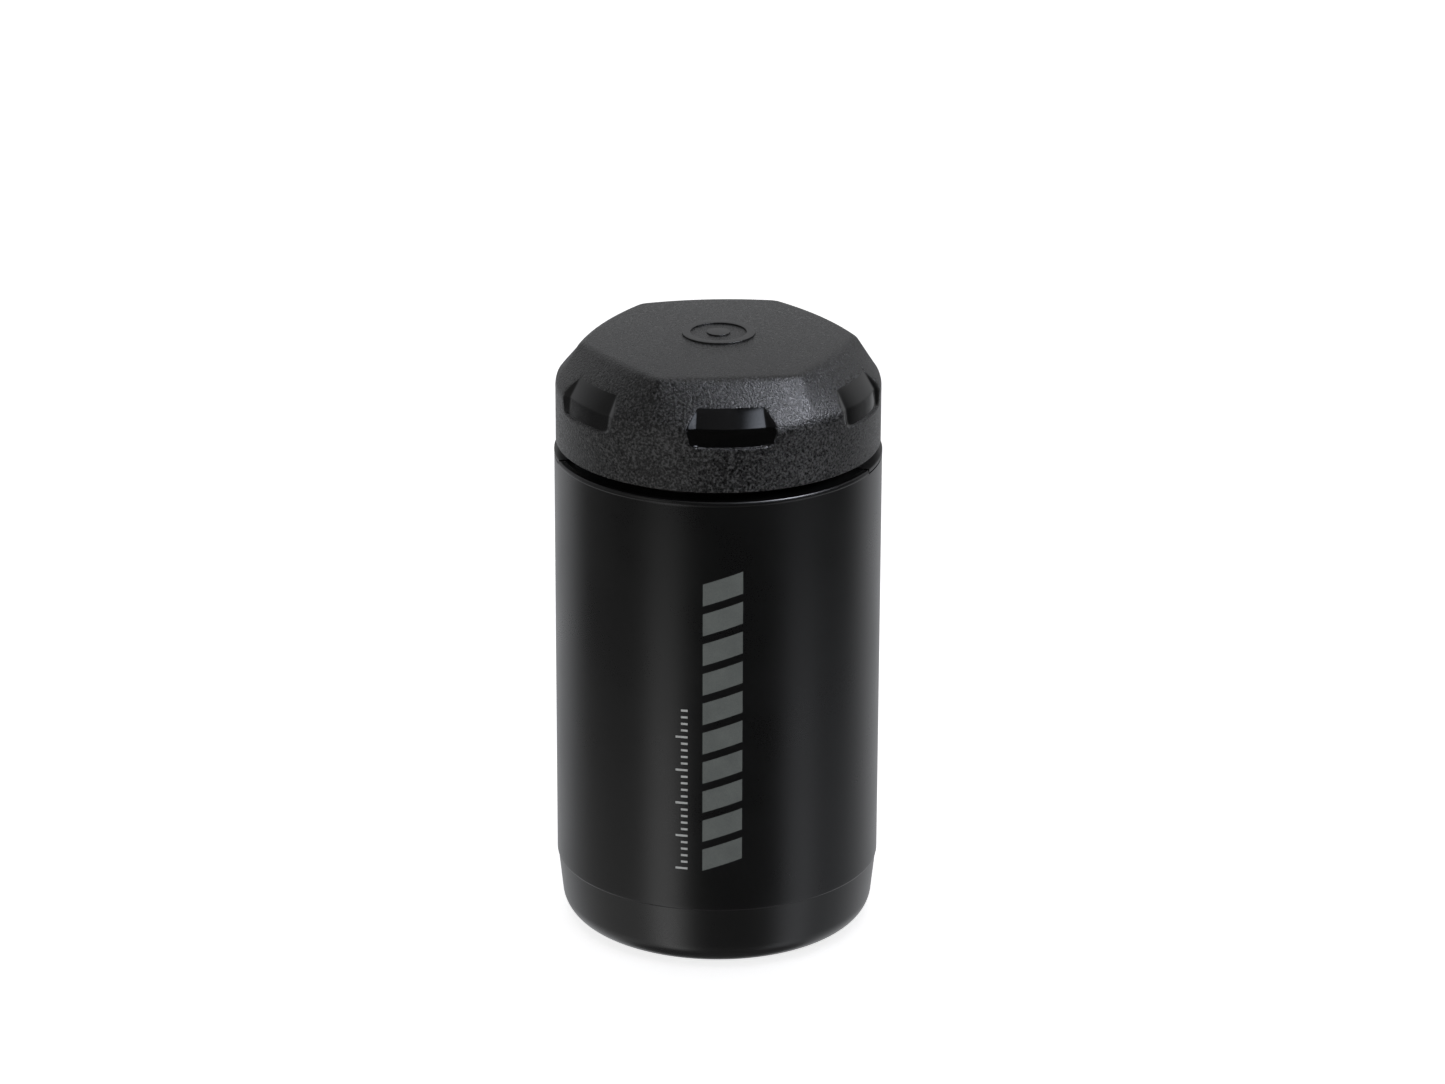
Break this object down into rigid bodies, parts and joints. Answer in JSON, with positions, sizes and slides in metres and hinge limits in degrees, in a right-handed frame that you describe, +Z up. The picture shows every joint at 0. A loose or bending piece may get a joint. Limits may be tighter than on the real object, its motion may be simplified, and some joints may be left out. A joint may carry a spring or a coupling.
{
  "type": "tool canister",
  "caption": "Cylindrical screw-lid tool canister for a bicycle bottle cage, with a faceted hexagonal lid, finger scoops, threaded neck and foam lining.",
  "frame": {"origin": "centre of the rest ring under the base, on the canister's axis", "axes": "+Z up along the canister's axis to the lid; -Y is the front, the side with the printed strip; +X to the right of the front"},
  "size_m": [0.074, 0.0748, 0.1403],
  "materials": {
    "body": "satin black, smooth, with a grey printed strip",
    "lid": "black, fine moulded grain; polished floors in the finger scoops",
    "neck": "black, smooth moulded",
    "seal": "dark grey rubber",
    "foam": "charcoal closed-cell foam"
  },
  "bodies": {
    "canister": {"canister_shell": "body", "neck_ring": "neck", "neck_o_ring": "seal", "wall_lining": "foam", "floor_pad": "foam"},
    "lid_carrier": {"lid_gasket": "seal"},
    "lid": {"lid_shell": "lid", "lid_liner": "neck", "lid_pad": "foam"}
  },
  "joints": [
    {"name": "lid_lift", "type": "slide", "parent": "canister", "child": "lid_carrier", "axis": [0, 0, 1], "range_m": [0, 0.0321]},
    {"name": "lid_turn", "type": "hinge", "parent": "lid_carrier", "child": "lid", "pos_m": [0, 0, 0.12], "axis": [0, 0, 1], "range_deg": [0, 1440]}
  ],
  "couplings": [
    {"joint": "lid_lift", "follows": "lid_turn", "m_per_rad": 0.0012732}
  ]
}
